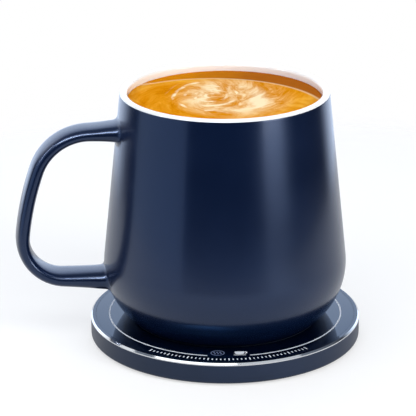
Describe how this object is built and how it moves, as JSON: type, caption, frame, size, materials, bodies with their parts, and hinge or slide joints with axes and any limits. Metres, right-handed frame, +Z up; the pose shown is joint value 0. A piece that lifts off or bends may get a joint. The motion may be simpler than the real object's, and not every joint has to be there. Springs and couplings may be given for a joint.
{
  "type": "mug warmer",
  "caption": "Slim round induction plate with a dark glass top and the tapered ceramic mug with a strap handle that stands on it and is kept warm.",
  "frame": {"origin": "centre of the underside of the anti-slip pad, on the surface that the plate stands on", "axes": "+Z up along the plate's axis, -Y to the front with the status lights, +Y to the power inlet, the mug's handle to -X and turned 6.5 degrees to the front"},
  "size_m": [0.1394, 0.11, 0.1041],
  "materials": {
    "navy_glaze": "satin navy glaze outside, white glaze inside and on the rim",
    "satin_wall": "satin navy paint",
    "polished_bezel": "polished",
    "dark_glass": "tempered, black printed underside",
    "base_plastic": "matt moulded",
    "silicone": "matt silicone",
    "mica_sheet": "pressed mica",
    "copper_wire": "enamelled stranded copper",
    "ferrite": "sintered",
    "circuit_board": "solder mask",
    "solder": "tinned",
    "component": "moulded",
    "capacitor": "fired",
    "steel": "plain",
    "lamp": "diffusing",
    "light_guide": "clear moulded"
  },
  "bodies": {
    "plate": {"housing_ring": "satin_wall", "bezel_ring": "polished_bezel", "glass_top": "dark_glass", "glass_gasket": "silicone", "insulation_sheet": "mica_sheet", "base_cover": "base_plastic", "anti_slip_pad": "silicone", "housing_screw_1": "steel", "housing_screw_2": "steel", "housing_screw_3": "steel", "housing_screw_4": "steel", "board_screw_1": "steel", "board_screw_2": "steel", "board_screw_3": "steel", "induction_coil": "copper_wire", "ferrite_ring": "ferrite", "coil_carrier": "base_plastic", "thermistor": "component", "thermistor_pad": "silicone", "main_board": "circuit_board", "power_inductor": "component", "capacitor_1": "capacitor", "capacitor_2": "capacitor", "capacitor_3": "capacitor", "transistor_1": "component", "transistor_2": "component", "controller_chip": "component", "coil_pad_inner": "solder", "coil_pad_outer": "solder", "status_light_left": "lamp", "status_light_right": "lamp", "light_guide": "light_guide", "inlet_shell": "steel", "inlet_contact_block": "base_plastic"},
    "mug": {"mug_shell": "navy_glaze", "heating_disc": "steel", "thermal_bond": "silicone", "base_seal": "silicone"}
  },
  "joints": [
    {"name": "mug_lift", "type": "slide", "parent": "plate", "child": "mug", "axis": [0, 0, 1], "range_m": [0, 0.12]}
  ]
}
